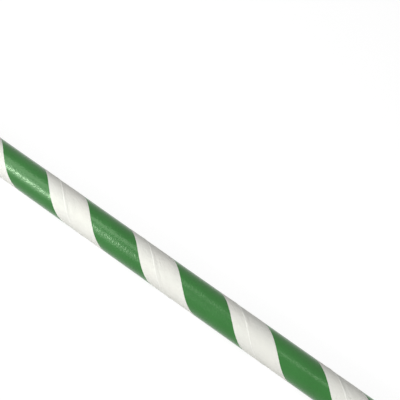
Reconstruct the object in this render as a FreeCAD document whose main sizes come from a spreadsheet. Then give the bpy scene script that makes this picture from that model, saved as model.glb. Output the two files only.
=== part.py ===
# A spiral-wound paper drinking straw, lying on its side along X.
# Its plies of paper are wound round a mandrel at one pitch and glued into a single tube, which a
# knife then cuts square to length. The outer ply laps over its own edge, and the lapped edge runs
# round the tube as a low right-handed helical step. The straw's own weight on a table has pressed
# that soft edge nearly flat along the line that it lies on.
import FreeCAD, Part
import os
import Sketcher

# ---- driving dimensions, in millimetres ----
driving_sizes = [
    ("straw_length", 197.0, "from cut end to cut end"),
    ("outer_diameter", 6.0, "over the outer ply, clear of its lap"),
    ("wall_thickness", 0.4, "all the plies with their glue"),
    ("winding_pitch", 19.6, "advance of the outer ply in one turn"),
    ("lap_height", 0.1, "one outer ply: how far its lapped edge stands proud"),
    ("lap_ramp", 1.1, "along X, where the ply climbs over the edge below it"),
    ("lap_step", 0.05, "along X, where the lapped edge drops to the next turn"),
    ("lap_crossing", 3.0, "X at which a lapped edge crosses the top of the straw"),
    ("pressed_lap", 0.02, "how far the lapped edge stands proud where the straw lies on it"),
]

# Turns of the wound tube that the knife takes off at each end.
wasted_turns = 2
# Part of a ply's thickness by which the lap reaches down into the tube, so that the two are bonded.
bonded_share = 0.5

doc = FreeCAD.newDocument("paper_drinking_straw")
sheet = doc.addObject("Spreadsheet::Sheet", "Sizes")
for row, (alias, value, note) in enumerate(driving_sizes, start=1):
    sheet.set(f"A{row}", alias)
    sheet.set(f"B{row}", str(value))
    sheet.set(f"C{row}", note)
    sheet.setAlias(f"B{row}", alias)
doc.recompute()


def origin_feature(body, role):
    """The body's own origin plane or axis that has this role."""
    return next(feature for feature in body.Origin.OriginFeatures if feature.Role == role)


def attached_sketch(body, name, plane_role):
    """An empty sketch lying on one of the body's own origin planes."""
    sketch = body.newObject("Sketcher::SketchObject", name)
    sketch.AttachmentSupport = [(origin_feature(body, plane_role), "")]
    sketch.MapMode = "FlatFace"
    return sketch


def add_circle(sketch, name, diameter):
    """A circle round the sketch's origin, its diameter bound to an expression."""
    centre = FreeCAD.Vector(0, 0, 0)
    circle = sketch.addGeometry(Part.Circle(centre, FreeCAD.Vector(0, 0, 1), 1.0))
    sketch.addConstraint(Sketcher.Constraint("Coincident", circle, 3, -1, 1))
    size = sketch.addConstraint(Sketcher.Constraint("Diameter", circle, 2.0))
    sketch.renameConstraint(size, name)
    sketch.setExpression(f"Constraints.{name}", diameter)


def add_outline(sketch, corners):
    """A closed outline. A corner is (name, distance left of the origin, height over it)."""
    count = len(corners)
    starts = [FreeCAD.Vector(-1 - index, 1 + index * index, 0) for index in range(count)]
    lines = []
    for index in range(count):
        segment = Part.LineSegment(starts[index], starts[(index + 1) % count])
        lines.append(sketch.addGeometry(segment))
    for index in range(count):
        sketch.addConstraint(Sketcher.Constraint("Coincident", lines[index - 1], 2, lines[index], 1))
    for line, start, (name, left, height) in zip(lines, starts, corners):
        across = Sketcher.Constraint("DistanceX", line, 1, -1, 1, -start.x)
        sketch.renameConstraint(sketch.addConstraint(across), f"{name}_left")
        sketch.setExpression(f"Constraints.{name}_left", left)
        up = Sketcher.Constraint("DistanceY", -1, 1, line, 1, start.y)
        sketch.renameConstraint(sketch.addConstraint(up), f"{name}_height")
        sketch.setExpression(f"Constraints.{name}_height", height)


def wind_tube(body):
    """The plain tube of glued plies, longer than the straw by the turns that are cut off."""
    section = attached_sketch(body, "tube_section", "YZ_Plane")
    add_circle(section, "outside", "Sizes.outer_diameter")
    add_circle(section, "inside", "Sizes.outer_diameter - 2 * Sizes.wall_thickness")
    doc.recompute()
    tube = body.newObject("PartDesign::Pad", "wound_tube")
    tube.Profile = section
    tube.Midplane = True
    tube.setExpression("Length", f"Sizes.straw_length + 2 * {wasted_turns} * Sizes.winding_pitch")
    doc.recompute()


def add_lap(body):
    """The outer ply's lap: a shallow ramp up to the lapped edge, and the step down past it."""
    # Whole turns from the crossing back to the first edge past the left end, and from the
    # crossing on to the first whole ramp past the right end.
    turns_before = (
        "(floor((Sizes.straw_length / 2 + Sizes.lap_crossing + Sizes.lap_step)"
        " / Sizes.winding_pitch) + 1)"
    )
    turns_after = (
        "(floor((Sizes.straw_length / 2 - Sizes.lap_crossing + Sizes.lap_ramp)"
        " / Sizes.winding_pitch) + 1)"
    )
    first_edge = f"{turns_before} * Sizes.winding_pitch - Sizes.lap_crossing"
    root_radius = f"Sizes.outer_diameter / 2 - {bonded_share} * Sizes.lap_height"
    profile = attached_sketch(body, "lap_profile", "XZ_Plane")
    add_outline(profile, [
        ("ramp_root", f"{first_edge} + {1 + bonded_share} * Sizes.lap_ramp", root_radius),
        ("lapped_edge", first_edge, "Sizes.outer_diameter / 2 + Sizes.lap_height"),
        ("step_root", f"{first_edge} - {1 + bonded_share} * Sizes.lap_step", root_radius),
    ])
    doc.recompute()
    lap = body.newObject("PartDesign::AdditiveHelix", "outer_ply_lap")
    lap.Profile = profile
    lap.ReferenceAxis = (origin_feature(body, "X_Axis"), [""])
    lap.Mode = "pitch-height-angle"
    lap.LeftHanded = False
    lap.setExpression("Pitch", "Sizes.winding_pitch")
    lap.setExpression("Height", f"({turns_before} + {turns_after}) * Sizes.winding_pitch")
    doc.recompute()


def cut_away(body, name, plane_role, plane_place, diameter, beyond):
    """Takes off all that lies past a plane: on its positive side if beyond is 1, or on the other if -1."""
    swept = attached_sketch(body, f"{name}_sketch", plane_role)
    swept.setExpression("AttachmentOffset.Base.z", plane_place)
    add_circle(swept, "sweep", diameter)
    doc.recompute()
    volume_before = body.Shape.Volume
    cut = body.newObject("PartDesign::Pocket", name)
    cut.Profile = swept
    cut.Type = "ThroughAll"
    cut.Reversed = beyond > 0
    doc.recompute()
    if cut.Shape.Volume >= volume_before:
        raise ValueError(f"{name} takes nothing off")


def cut_end(body, name, side):
    """The knife's square cut, at the left end where side is -1 and at the right end where it is 1."""
    cut_away(body, name, "YZ_Plane", f"{side} * Sizes.straw_length / 2", "2 * Sizes.outer_diameter", side)


def press_underside(body):
    """Flattens the lapped edge where it crosses the line on which the straw lies."""
    table = "-(Sizes.outer_diameter / 2 + Sizes.pressed_lap)"
    cut_away(body, "pressed_underside", "XY_Plane", table, "2 * Sizes.straw_length", -1)


straw = doc.addObject("PartDesign::Body", "straw")
straw.Label = "paper_straw"
wind_tube(straw)
add_lap(straw)
cut_end(straw, "left_cut", -1)
cut_end(straw, "right_cut", 1)
press_underside(straw)

# The straw lies on the pressed stretches of its lapped edge, the lowest places on it.
straw.setExpression("Placement.Base.z", "Sizes.outer_diameter / 2 + Sizes.pressed_lap")
doc.recompute()

for item in doc.Objects:
    if "Invalid" in item.State or "Error" in item.State:
        raise ValueError(f"{item.Label} did not recompute: {item.State}")
if straw.Shape.isNull() or not straw.Shape.isValid():
    raise ValueError(f"{straw.Label} has no valid shape")

os.makedirs("parts", exist_ok=True)
straw.Shape.exportStep(f"parts/{straw.Label}.step")
print(f"{straw.Label}: {straw.Shape.Volume:.1f} mm3, {len(straw.Shape.Solids)} solid")
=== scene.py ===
import math

import bmesh
import bpy
from mathutils import Matrix, Quaternion, Vector, noise


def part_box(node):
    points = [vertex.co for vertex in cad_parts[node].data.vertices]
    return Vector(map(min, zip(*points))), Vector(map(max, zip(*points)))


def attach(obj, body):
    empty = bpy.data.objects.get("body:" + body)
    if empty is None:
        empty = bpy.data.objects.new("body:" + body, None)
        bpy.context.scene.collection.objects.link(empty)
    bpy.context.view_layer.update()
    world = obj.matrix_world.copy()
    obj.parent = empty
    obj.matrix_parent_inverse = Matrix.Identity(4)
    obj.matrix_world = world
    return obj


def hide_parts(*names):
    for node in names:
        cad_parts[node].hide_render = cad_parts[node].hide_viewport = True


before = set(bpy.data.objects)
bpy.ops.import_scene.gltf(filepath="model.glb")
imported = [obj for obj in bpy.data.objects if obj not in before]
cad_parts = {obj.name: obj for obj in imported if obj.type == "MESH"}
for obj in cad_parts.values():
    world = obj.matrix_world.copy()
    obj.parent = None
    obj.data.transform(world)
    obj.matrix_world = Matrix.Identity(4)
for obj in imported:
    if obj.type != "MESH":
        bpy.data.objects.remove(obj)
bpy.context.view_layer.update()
print("frame loaded")

mm = 0.001


# The straw: what a user would change about its form
straw = {
    "wall": 0.4 * mm,
    "pitch": 19.6 * mm,  # one turn of the outer ply
    "lapHeight": 0.1 * mm,  # the lapped edge over the ply below it
    "lapRise": 0.045 * mm,  # what the varnish and glue leave of it
    "lapRamp": 2.4 * mm,  # along X, from the tube up to the lapped edge
    "lapStep": 0.36 * mm,  # along X, from the lapped edge down
    "lipWidth": 0.27 * mm,  # along X, the last of the ply, which curls up a little
    "lipShare": 0.75,  # of the rise
    "lapCrossing": 3.0 * mm,  # X where a lapped edge crosses the top
    "columnWidth": 0.26 * mm,  # mesh columns along X, away from the lap
    "lapColumnWidth": 0.09 * mm,  # and on the lap
    "lapColumnReach": 1.2,  # these start this many ramps before the lapped edge
    "rowLength": 0.4 * mm,
    "boreRowLength": 0.8 * mm,
    "knifeRound": 0.025 * mm,  # the cut edges, very slightly rounded
    "knifeRoundSteps": 2,
    "waviness": 0.012 * mm,  # how far the wall wanders in from a true tube
    "waveLength": 14 * mm,  # along the ply
    "waveWidth": 5 * mm,
    "waveSeed": 0.3,
    "pucker": 0.035 * mm,  # depth of the puckers that run beside the lap
    "puckerReach": 3.0 * mm,  # across the ply, from the lapped edge
    "puckerStart": 0.125,  # share of the reach over which they set in
    "puckerLength": 6 * mm,
    "puckerWidth": 0.55 * mm,
    "puckerSeed": 4.1,
    "cutSlack": 0.01 * mm,  # a corner this near to a cut lies on it
    "cutFacing": 0.9,  # a face is on a cut if it looks along X this squarely, of 1
    "weldReach": 0.02 * mm,  # open corners this near to each other are joined
    "smoothAngle": 32,  # degrees: the wall is smooth and the cuts' rims stay crisp
}

low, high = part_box("paper_straw")
leftEnd, rightEnd = low.x, high.x
lapRadius = (high.y - low.y) / 2
axisHeight = high.z - lapRadius
wallRadius = lapRadius - straw["lapHeight"]
boreRadius = wallRadius - straw["wall"]
midWall = (wallRadius + boreRadius) / 2
girth = 2 * math.pi * wallRadius
turnLength = math.hypot(straw["pitch"], girth)  # one turn, measured along the ply
plyWidth = straw["pitch"] * girth / turnLength  # measured square across the ply
turnSlip = girth * girth / turnLength  # back along the ply, from one lapped edge round to the next


def deselectAll():
    if bpy.context.mode != "OBJECT":
        bpy.ops.object.mode_set(mode="OBJECT")
    bpy.ops.object.select_all(action="DESELECT")


def useOnly(piece):
    deselectAll()
    piece.select_set(True)
    bpy.context.view_layer.objects.active = piece


# Share of the way across the outer ply, from a lapped edge to the next, and metres along the ply
def plyPlace(x, angle):
    turns = (x - straw["lapCrossing"]) / straw["pitch"]
    across = (turns - (angle - math.pi / 2) / (2 * math.pi)) % 1.0
    return across, turnLength * turns - turnSlip * across


# Height of the outer ply over the plain tube: a slow climb over the edge below it, a lip where
# its own edge is a little proud, then the step down to the next turn
def lapRise(across):
    pastEdge = across * straw["pitch"]
    beforeEdge = (1 - across) * straw["pitch"]
    step = max(0.0, 1 - pastEdge / straw["lapStep"])
    climb = max(0.0, 1 - beforeEdge / straw["lapRamp"])
    lip = max(0.0, 1 - beforeEdge / straw["lipWidth"])
    ramp = (1 - straw["lipShare"]) * climb * climb * (3 - 2 * climb) + straw["lipShare"] * lip
    return straw["lapRise"] * max(step, ramp)


# Where the mesh columns lie across the ply: close together on the lap, wider elsewhere
def columnPlaces():
    stepEnd = straw["lapStep"] / straw["pitch"]
    rampStart = 1 - straw["lapColumnReach"] * straw["lapRamp"] / straw["pitch"]
    flatCount = round((rampStart - stepEnd) * straw["pitch"] / straw["columnWidth"])
    rampCount = round((1 - rampStart) * straw["pitch"] / straw["lapColumnWidth"])
    flat = [stepEnd + (rampStart - stepEnd) * i / flatCount for i in range(flatCount)]
    ramp = [rampStart + (1 - rampStart) * i / rampCount for i in range(rampCount)]
    return [0.0] + flat + ramp


# One cross-section of a wall, turned and drawn along X so that its columns follow the ply
def windWall(name, radiusAt, rowLength):
    places = columnPlaces()
    edgeAngle = math.pi / 2 + 2 * math.pi * (leftEnd - straw["lapCrossing"]) / straw["pitch"]
    length = rightEnd - leftEnd
    deselectAll()
    bpy.ops.mesh.primitive_circle_add(
        vertices=len(places), radius=wallRadius, rotation=(0, math.pi / 2, 0)
    )
    wall = bpy.context.object
    wall.name = name
    bpy.ops.object.transform_apply(location=True, rotation=True, scale=True)
    for vertex, across in zip(wall.data.vertices, reversed(places)):
        angle = edgeAngle - 2 * math.pi * across
        radius = radiusAt(across)
        vertex.co = (0, radius * math.cos(angle), radius * math.sin(angle))
    wind = wall.modifiers.new("wind", "SCREW")
    wind.axis = "X"
    wind.angle = 2 * math.pi * length / straw["pitch"]
    wind.screw_offset = length
    wind.steps = round(length / rowLength)
    wind.render_steps = wind.steps
    bpy.ops.object.modifier_apply(modifier="wind")
    wall.location = (leftEnd, 0, axisHeight)
    bpy.ops.object.transform_apply(location=True, rotation=True, scale=True)
    return wall


# Smooth noise between 0 and 1
def unevenness(u, v, seed):
    return 0.5 + 0.5 * noise.noise(Vector((u, v, seed)))


# The unevenness of thin glued paper: a slow wander of the wall, puckers beside the lap, and the
# underside, which is taken as flat where it rests
def relaxWall(wall):
    for vertex in wall.data.vertices:
        y, z = vertex.co.y, vertex.co.z - axisHeight
        across, along = plyPlace(vertex.co.x, math.atan2(z, y))
        sideways = across * plyWidth
        u, v = sideways / straw["waveWidth"], along / straw["waveLength"]
        inward = straw["waviness"] * unevenness(u, v, straw["waveSeed"])
        reach = sideways / straw["puckerReach"]
        if reach < 1:
            u, v = sideways / straw["puckerWidth"], along / straw["puckerLength"]
            fade = (1 - reach) * min(1.0, reach / straw["puckerStart"])
            inward += straw["pucker"] * fade * unevenness(u, v, straw["puckerSeed"])
        shrink = 1 - inward / math.hypot(y, z)
        vertex.co.y = y * shrink
        vertex.co.z = max(low.z, axisHeight + z * shrink)


# The knife's flat cut at one end, drawn in from the outer rim to the bore
def closeEnd(mesh, x):
    bpy.ops.mesh.select_all(action="DESELECT")
    for edge in mesh.edges:
        atEnd = all(abs(v.co.x - x) < straw["cutSlack"] for v in edge.verts)
        outside = all(math.hypot(v.co.y, v.co.z - axisHeight) > midWall for v in edge.verts)
        if edge.is_boundary and atEnd and outside:
            edge.select_set(True)
    bpy.ops.mesh.extrude_edges_move()
    for vertex in mesh.verts:
        if vertex.select:
            y, z = vertex.co.y, vertex.co.z - axisHeight
            shrink = boreRadius / math.hypot(y, z)
            vertex.co = (x, y * shrink, axisHeight + z * shrink)


# Where the knife's flat cut meets the outer wall and the bore
def selectCutEdges(mesh, x):
    for edge in mesh.edges:
        atEnd = all(abs(v.co.x - x) < straw["cutSlack"] for v in edge.verts)
        cutFaces = sum(1 for face in edge.link_faces if abs(face.normal.x) > straw["cutFacing"])
        edge.select_set(atEnd and cutFaces == 1)


def makeStraw():
    wall = windWall("strawWall", lambda across: wallRadius + lapRise(across), straw["rowLength"])
    relaxWall(wall)
    bore = windWall("strawBore", lambda across: boreRadius, straw["boreRowLength"])
    useOnly(wall)
    bore.select_set(True)
    bpy.ops.object.join()
    piece = bpy.context.object
    piece.name = "straw"
    piece.data.name = "straw"
    bpy.ops.object.mode_set(mode="EDIT")
    bpy.ops.mesh.select_mode(type="EDGE")
    mesh = bmesh.from_edit_mesh(piece.data)
    for x in (leftEnd, rightEnd):
        closeEnd(mesh, x)
    bpy.ops.mesh.select_all(action="DESELECT")
    bpy.ops.mesh.select_non_manifold()
    bpy.ops.mesh.remove_doubles(threshold=straw["weldReach"])
    bpy.ops.mesh.select_all(action="SELECT")
    bpy.ops.mesh.normals_make_consistent(inside=False)
    for x in (leftEnd, rightEnd):
        mesh.normal_update()
        selectCutEdges(mesh, x)
        bpy.ops.mesh.bevel(
            offset=straw["knifeRound"], segments=straw["knifeRoundSteps"], clamp_overlap=True
        )
    bpy.ops.object.mode_set(mode="OBJECT")
    bpy.ops.object.shade_smooth_by_angle(angle=math.radians(straw["smoothAngle"]))
    return piece


# Links a socket to another, or sets it to a plain value
def feed(tree, socket, value):
    if isinstance(value, bpy.types.NodeSocket):
        tree.links.new(value, socket)
    else:
        socket.default_value = value


# A new node, with its inputs given by number or by name
def addNode(tree, kind, inputs=None, **settings):
    node = tree.nodes.new(kind)
    for name, value in settings.items():
        setattr(node, name, value)
    for key, value in (inputs or {}).items():
        feed(tree, node.inputs[key], value)
    return node


# A sum on up to three values, such as MULTIPLY_ADD
def sums(tree, operation, first, second=0.0, third=0.0, clamp=False):
    inputs = {0: first, 1: second, 2: third}
    return addNode(tree, "ShaderNodeMath", inputs, operation=operation, use_clamp=clamp).outputs[0]


# A soft step from 0 to 1 as a value passes a place
def softStep(tree, value, place, softness):
    inputs = {"Value": value, "From Min": place - softness / 2, "From Max": place + softness / 2}
    return addNode(tree, "ShaderNodeMapRange", inputs, interpolation_type="SMOOTHSTEP").outputs[0]


# A mask that is 1 up to a place and 0 past it
def upTo(tree, value, place, softness):
    return sums(tree, "SUBTRACT", 1.0, softStep(tree, value, place, softness))


# The first colour where the share is 0, the second where it is 1
def blendColours(tree, share, first, second):
    node = addNode(tree, "ShaderNodeMix", data_type="RGBA")
    sockets = {s.name: s for s in node.inputs if s.enabled}
    for name, value in {"Factor": share, "A": first, "B": second}.items():
        feed(tree, sockets[name], value)
    return next(s for s in node.outputs if s.enabled)


# A normal from a relief that runs from 0 to 1, at its real depth
def reliefNormal(tree, relief, depth):
    inputs = {"Strength": 1.0, "Distance": depth, "Height": relief}
    return addNode(tree, "ShaderNodeBump", inputs).outputs[0]


# A group with number sockets, and the nodes at its two ends
def newGroup(name, inputs, outputs):
    group = bpy.data.node_groups.new(name, "ShaderNodeTree")
    for socketName, value in inputs:
        socket = group.interface.new_socket(socketName, in_out="INPUT", socket_type="NodeSocketFloat")
        socket.default_value = value
    for socketName in outputs:
        group.interface.new_socket(socketName, in_out="OUTPUT", socket_type="NodeSocketFloat")
    return group, group.nodes.new("NodeGroupInput"), group.nodes.new("NodeGroupOutput")


# Group: where a point lies on a wound ply
def windingGroup():
    group, given, result = newGroup(
        "winding", [("Edge crossing", 0.0)], ["Across", "Along", "Sideways"]
    )
    place = addNode(group, "ShaderNodeTexCoord").outputs["Object"]
    x, y, z = addNode(group, "ShaderNodeSeparateXYZ", {0: place}).outputs
    angle = sums(group, "ARCTAN2", sums(group, "SUBTRACT", z, axisHeight), y)
    fromTop = sums(group, "MULTIPLY_ADD", angle, 1 / (2 * math.pi), -0.25)  # in turns
    pastEdge = sums(group, "SUBTRACT", x, given.outputs["Edge crossing"])
    turns = sums(group, "DIVIDE", pastEdge, straw["pitch"])
    across = sums(group, "FRACT", sums(group, "SUBTRACT", turns, fromTop))
    slipped = sums(group, "MULTIPLY", across, -turnSlip)
    along = sums(group, "MULTIPLY_ADD", turns, turnLength, slipped)
    sideways = sums(group, "MULTIPLY", across, plyWidth)
    group.links.new(across, result.inputs["Across"])
    group.links.new(along, result.inputs["Along"])
    group.links.new(sideways, result.inputs["Sideways"])
    return group


# Group: the fibres of the paper, drawn out along the ply, and its cloudy look-through
def paperGroup():
    group, given, result = newGroup(
        "paper", [("Along", 0.0), ("Sideways", 0.0), ("Fibre width", 0.1 * mm)], ["Fibre", "Cloud"]
    )
    width = given.outputs["Fibre width"]
    # name, size across and along the ply in fibre widths, detail
    for name, across, along, detail in (("Fibre", 1.0, 1.6, 1.3), ("Cloud", 14.0, 22.0, 4.0)):
        u = sums(group, "DIVIDE", given.outputs["Along"], sums(group, "MULTIPLY", width, along))
        v = sums(group, "DIVIDE", given.outputs["Sideways"], sums(group, "MULTIPLY", width, across))
        place = addNode(group, "ShaderNodeCombineXYZ", {0: u, 1: v, 2: across})  # 2 sets them apart
        texture = addNode(
            group, "ShaderNodeTexNoise",
            {"Vector": place.outputs[0], "Scale": 1.0, "Detail": detail, "Roughness": 0.5},
        )
        group.links.new(texture.outputs[0], result.inputs[name])
    return group


# Group: fine creases that run along the ply beside its lapped edge
def creaseGroup():
    group, given, result = newGroup(
        "creases",
        [("Along", 0.0), ("Sideways", 0.0), ("Reach", 1 * mm), ("Width", 0.4 * mm),
         ("Length", 5 * mm), ("Seed", 0.0)],
        ["Crease"],
    )
    u = sums(group, "DIVIDE", given.outputs["Along"], given.outputs["Length"])
    v = sums(group, "DIVIDE", given.outputs["Sideways"], given.outputs["Width"])
    place = addNode(group, "ShaderNodeCombineXYZ", {0: u, 1: v, 2: given.outputs["Seed"]})
    texture = addNode(
        group, "ShaderNodeTexNoise", {"Vector": place.outputs[0], "Scale": 1.0, "Detail": 1.0}
    )
    far = sums(group, "DIVIDE", given.outputs["Sideways"], given.outputs["Reach"])
    near = sums(group, "SUBTRACT", 1.0, far, clamp=True)
    crease = sums(group, "MULTIPLY", texture.outputs[0], near)
    group.links.new(crease, result.inputs["Crease"])
    return group


def newMaterial(name):
    material = bpy.data.materials.new(name)
    material.use_nodes = True
    tree = material.node_tree
    return material, tree, tree.nodes["Principled BSDF"]


def useGroup(tree, group, inputs):
    return addNode(tree, "ShaderNodeGroup", inputs, node_tree=group).outputs


# Where each point lies on the ply, and the fibres and clouds of the paper there
def plyAndGrain(tree, winding, paper, edgeCrossing, fibreWidth):
    ply = useGroup(tree, winding, {"Edge crossing": edgeCrossing})
    grain = useGroup(
        tree, paper, {"Along": ply["Along"], "Sideways": ply["Sideways"], "Fibre width": fibreWidth}
    )
    return ply, grain


# Mask: the cloudy half of the paper, with soft borders
def cloudMask(tree, cloud):
    half, softness = 0.5, 0.5
    return softStep(tree, cloud, half, softness)


# The outer ply: white paper, one broad green stripe printed along it, and varnish on the stripe
outerPly = {
    "paper": (0.81, 0.795, 0.745, 1),
    "paperShade": (0.77, 0.765, 0.72, 1),  # the thin, cloudy places
    "ink": (0.0066, 0.124, 0.0085, 1),
    "inkThin": (0.012, 0.144, 0.014, 1),  # where the print is lean
    "stripeStart": 0.294,  # shares of the way across the ply
    "stripeEnd": 0.823,
    "stripeSoftness": 0.003,
    "stripeWobble": 0.004,
    "paperRoughness": 0.55,
    "inkRoughness": 0.19,
    "gloss": 0.45,
    "glossTint": (0.72, 1.0, 0.66, 1),  # what the highlights take from the ink
    "varnish": 0.6,  # on the stripe alone, a broader gloss over the ink's own
    "varnishRoughness": 0.45,
    "fibreWidth": 0.27 * mm,
    "fibreDepth": 0.052 * mm,
    "crestHighlightAndRawEdge": (0.88, 0.87, 0.83, 1),  # painted highlight where the lapped edge's crest catches light, with the ply's raw edge
    "lappedEdgeWidth": 0.2 * mm,
    "lappedEdgeSoftness": 0.1 * mm,
    "creaseReach": 1.8 * mm,  # from the lapped edge, across the ply
    "creaseWidth": 0.42 * mm,
    "creaseLength": 5.0 * mm,
    "creaseDepth": 0.11 * mm,
    "creaseSeed": 7.7,
}


# Mask: the printed stripe, its borders a little ragged with the fibres
def stripeMask(tree, across, fibre, look):
    wobble = sums(tree, "MULTIPLY_ADD", fibre, look["stripeWobble"], -look["stripeWobble"] / 2)
    place = sums(tree, "ADD", across, wobble)
    begun = softStep(tree, place, look["stripeStart"], look["stripeSoftness"])
    over = softStep(tree, place, look["stripeEnd"], look["stripeSoftness"])
    return sums(tree, "SUBTRACT", begun, over, clamp=True)


def outerPlyMaterial(winding, paper, creases):
    look = outerPly
    material, tree, skin = newMaterial("outerPly")
    ply, grain = plyAndGrain(tree, winding, paper, straw["lapCrossing"], look["fibreWidth"])
    stripe = stripeMask(tree, ply["Across"], grain["Fibre"], look)
    cloudy = cloudMask(tree, grain["Cloud"])
    paperColour = blendColours(tree, cloudy, look["paper"], look["paperShade"])
    inkColour = blendColours(tree, cloudy, look["ink"], look["inkThin"])
    # A lighter line on the paper just before the lapped edge: painted highlight of its crest, with
    # the ply's raw edge
    beforeEdge = sums(tree, "MULTIPLY_ADD", ply["Across"], -straw["pitch"], straw["pitch"])
    crestHighlightLine = upTo(tree, beforeEdge, look["lappedEdgeWidth"], look["lappedEdgeSoftness"])
    paperColour = blendColours(tree, crestHighlightLine, paperColour, look["crestHighlightAndRawEdge"])
    colour = blendColours(tree, stripe, paperColour, inkColour)
    roughness = sums(
        tree, "MULTIPLY_ADD", stripe, look["inkRoughness"] - look["paperRoughness"],
        look["paperRoughness"],
    )
    crease = useGroup(
        tree, creases,
        {"Along": ply["Along"], "Sideways": ply["Sideways"], "Reach": look["creaseReach"],
         "Width": look["creaseWidth"], "Length": look["creaseLength"], "Seed": look["creaseSeed"]},
    )
    creaseShare = look["creaseDepth"] / look["fibreDepth"]
    relief = sums(tree, "MULTIPLY_ADD", crease["Crease"], creaseShare, grain["Fibre"])
    tree.links.new(colour, skin.inputs["Base Color"])
    tree.links.new(roughness, skin.inputs["Roughness"])
    tree.links.new(reliefNormal(tree, relief, look["fibreDepth"]), skin.inputs["Normal"])
    tree.links.new(sums(tree, "MULTIPLY", stripe, look["varnish"]), skin.inputs["Coat Weight"])
    skin.inputs["Specular IOR Level"].default_value = look["gloss"]
    skin.inputs["Specular Tint"].default_value = look["glossTint"]
    skin.inputs["Coat Roughness"].default_value = look["varnishRoughness"]
    return material


# The inside: bare, unprinted paper with the seam of the inner ply
innerPly = {
    "paper": (0.80, 0.80, 0.75, 1),
    "paperShade": (0.72, 0.72, 0.67, 1),
    "seam": (0.60, 0.60, 0.55, 1),
    "seamWidth": 0.02,  # share of the ply
    "seamSoftness": 0.01,
    "seamCrossing": 11.0 * mm,  # X where the seam crosses the top
    "roughness": 0.75,
    "fibreWidth": 0.11 * mm,
    "fibreDepth": 0.01 * mm,
}


def innerPlyMaterial(winding, paper):
    look = innerPly
    material, tree, skin = newMaterial("innerPly")
    ply, grain = plyAndGrain(tree, winding, paper, look["seamCrossing"], look["fibreWidth"])
    cloudy = cloudMask(tree, grain["Cloud"])
    bare = blendColours(tree, cloudy, look["paper"], look["paperShade"])
    seam = upTo(tree, ply["Across"], look["seamWidth"], look["seamSoftness"])
    tree.links.new(blendColours(tree, seam, bare, look["seam"]), skin.inputs["Base Color"])
    tree.links.new(reliefNormal(tree, grain["Fibre"], look["fibreDepth"]), skin.inputs["Normal"])
    skin.inputs["Roughness"].default_value = look["roughness"]
    return material


# The knife's cut: raw paper with the faint lines of its glued plies
cutEdge = {
    "paper": (0.82, 0.82, 0.77, 1),
    "glueLine": (0.58, 0.57, 0.50, 1),
    "plies": 3,
    "glueLineWidth": 0.12,  # share of a ply's thickness
    "glueLineSoftness": 0.1,
    "facing": 0.3,  # the rounded rims too: any face that looks along X this squarely, of 1
    "roughness": 0.85,
    "fibreWidth": 0.06 * mm,
    "fibreDepth": 0.02 * mm,
}


def cutEdgeMaterial(winding, paper):
    look = cutEdge
    material, tree, skin = newMaterial("cutEdge")
    place = addNode(tree, "ShaderNodeTexCoord").outputs["Object"]
    fromAxis = addNode(
        tree, "ShaderNodeVectorMath", {0: place, 1: (0, 0, axisHeight)}, operation="SUBTRACT"
    )
    inPlane = addNode(
        tree, "ShaderNodeVectorMath", {0: fromAxis.outputs[0], 1: (0, 1, 1)}, operation="MULTIPLY"
    )
    radius = addNode(tree, "ShaderNodeVectorMath", {0: inPlane.outputs[0]}, operation="LENGTH")
    depth = sums(tree, "SUBTRACT", radius.outputs["Value"], boreRadius)
    plyShare = sums(tree, "FRACT", sums(tree, "MULTIPLY", depth, look["plies"] / straw["wall"]))
    glue = upTo(tree, plyShare, look["glueLineWidth"], look["glueLineSoftness"])
    ply = useGroup(tree, winding, {"Edge crossing": straw["lapCrossing"]})
    grain = useGroup(
        tree, paper, {"Along": ply["Sideways"], "Sideways": depth, "Fibre width": look["fibreWidth"]}
    )
    shade = sums(tree, "MULTIPLY", glue, grain["Cloud"])
    colour = blendColours(tree, shade, look["paper"], look["glueLine"])
    tree.links.new(colour, skin.inputs["Base Color"])
    tree.links.new(reliefNormal(tree, grain["Fibre"], look["fibreDepth"]), skin.inputs["Normal"])
    skin.inputs["Roughness"].default_value = look["roughness"]
    return material


# Outer ply outside, bare paper in the bore, raw edge on the cuts
def finishStraw(piece):
    winding = windingGroup()
    paper = paperGroup()
    piece.data.materials.append(outerPlyMaterial(winding, paper, creaseGroup()))
    piece.data.materials.append(innerPlyMaterial(winding, paper))
    piece.data.materials.append(cutEdgeMaterial(winding, paper))
    for face in piece.data.polygons:
        radius = math.hypot(face.center.y, face.center.z - axisHeight)
        if abs(face.normal.x) > cutEdge["facing"]:
            face.material_index = 2
        elif radius < midWall:
            face.material_index = 1
        else:
            face.material_index = 0


piece = makeStraw()
finishStraw(piece)
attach(piece, "root")
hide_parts("paper_straw")
print("straw made,", len(piece.data.polygons), "faces")


# The studio: a pale floor, soft lamps above the near side, most of the light from the left
studio = {
    "floorSize": 12.0,
    "floorColour": (0.5, 0.5, 0.5, 1),  # what it bounces on to the straw
    "floorShown": (0.21, 0.21, 0.21, 1),  # to the camera and in reflections, takes shadow
    "floorGlow": 0.87,  # plain white added to it there
    "backdrop": 0.925,  # there too
    "fill": 0.25,  # light from all round
    "lamps": [
        # name, place, width along X, height, watts
        ("key", (-0.222, -0.268, 0.152), 0.30, 0.25, 0.645),
        ("overhead", (-0.110, -0.058, 0.314), 0.16, 0.13, 0.19),
        ("overLeft", (-0.190, -0.115, 0.210), 0.13, 0.10, 0.09),
        ("leftStrip", (-0.143, -0.194, 0.128), 0.08, 0.034, 0.22),
        ("rightStrip", (0.055, -0.071, 0.229), 0.05, 0.045, 0.030),
        ("rightEnd", (1.300, -0.040, 0.180), 0.16, 0.16, 1.40),
    ],
}


# Mask: 1 for rays that show the background, 0 for rays that carry its light to the straw
def backgroundRays(tree):
    rays = addNode(tree, "ShaderNodeLightPath").outputs
    seen = sums(tree, "MAXIMUM", rays["Is Camera Ray"], rays["Is Glossy Ray"])
    return sums(tree, "MAXIMUM", seen, rays["Is Transmission Ray"])


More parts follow.
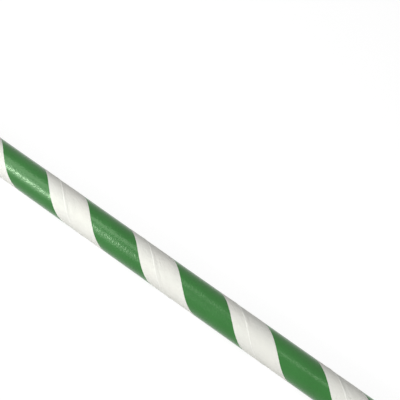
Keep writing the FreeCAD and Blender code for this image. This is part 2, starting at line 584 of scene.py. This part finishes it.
def makeFloor():
    deselectAll()
    bpy.ops.mesh.primitive_plane_add(size=studio["floorSize"], location=(0, 0, low.z))
    floor = bpy.context.object
    floor.name = "floor"
    material = bpy.data.materials.new("floor")
    material.use_nodes = True
    tree = material.node_tree
    tree.nodes.remove(tree.nodes["Principled BSDF"])
    lit = addNode(tree, "ShaderNodeBsdfDiffuse", {"Color": studio["floorColour"]})
    shown = addNode(tree, "ShaderNodeBsdfDiffuse", {"Color": studio["floorShown"]})
    glow = addNode(tree, "ShaderNodeEmission", {"Strength": studio["floorGlow"]})
    both = addNode(tree, "ShaderNodeAddShader", {0: shown.outputs[0], 1: glow.outputs[0]})
    choice = addNode(
        tree, "ShaderNodeMixShader", {0: backgroundRays(tree), 1: lit.outputs[0], 2: both.outputs[0]}
    )
    tree.links.new(choice.outputs[0], tree.nodes["Material Output"].inputs["Surface"])
    floor.data.materials.append(material)


def makeWorld():
    world = bpy.data.worlds.new("studio")
    world.use_nodes = True
    bpy.context.scene.world = world
    tree = world.node_tree
    share = backgroundRays(tree)
    strength = sums(
        tree, "MULTIPLY_ADD", share, studio["backdrop"] - studio["fill"], studio["fill"]
    )
    background = tree.nodes["Background"]
    background.inputs["Color"].default_value = (1, 1, 1, 1)
    tree.links.new(strength, background.inputs["Strength"])


# A lamp turned to the origin, under the middle of the straw, with its width in line with X
def softLamp(name, place, width, height, watts):
    data = bpy.data.lights.new(name, "AREA")
    data.shape = "RECTANGLE"
    data.size = width
    data.size_y = height
    data.energy = watts
    lamp = bpy.data.objects.new(name, data)
    bpy.context.scene.collection.objects.link(lamp)
    lamp.location = place
    lamp.rotation_mode = "QUATERNION"
    back = Vector(place).normalized()
    wide = (Vector((1, 0, 0)) - back.x * back).normalized()
    lamp.rotation_quaternion = Matrix((wide, back.cross(wide), back)).transposed().to_quaternion()


def makeLights():
    for lamp in studio["lamps"]:
        softLamp(*lamp)


# Camera over the near side, turned so the straw runs down from the left, both ends out of view
view = {
    "lens": 58.134,
    "sensor": 36,
    "eye": (0.25 * mm, -61.966 * mm, 96.19 * mm),  # from the middle of the straw's axis
    "aim": (-16.877 * mm, 18.610 * mm, 0),  # from there too
    "roll": 25.12,  # degrees
    "nearest": 1 * mm,  # clipping
    "farthest": 10,
}


def makeCamera():
    data = bpy.data.cameras.new("camera")
    data.lens = view["lens"]
    data.sensor_width = view["sensor"]
    data.clip_start = view["nearest"]
    data.clip_end = view["farthest"]
    camera = bpy.data.objects.new("camera", data)
    bpy.context.scene.collection.objects.link(camera)
    middle = Vector((0, 0, axisHeight))
    eye = middle + Vector(view["eye"])
    forward = (middle + Vector(view["aim"]) - eye).normalized()
    camera.location = eye
    camera.rotation_mode = "QUATERNION"
    roll = Quaternion((0, 0, 1), math.radians(view["roll"]))
    camera.rotation_quaternion = forward.to_track_quat("-Z", "Y") @ roll
    bpy.context.scene.camera = camera


makeFloor()
makeWorld()
makeLights()
makeCamera()
bpy.context.scene.view_settings.view_transform = "Standard"
print("floor, light and camera set")
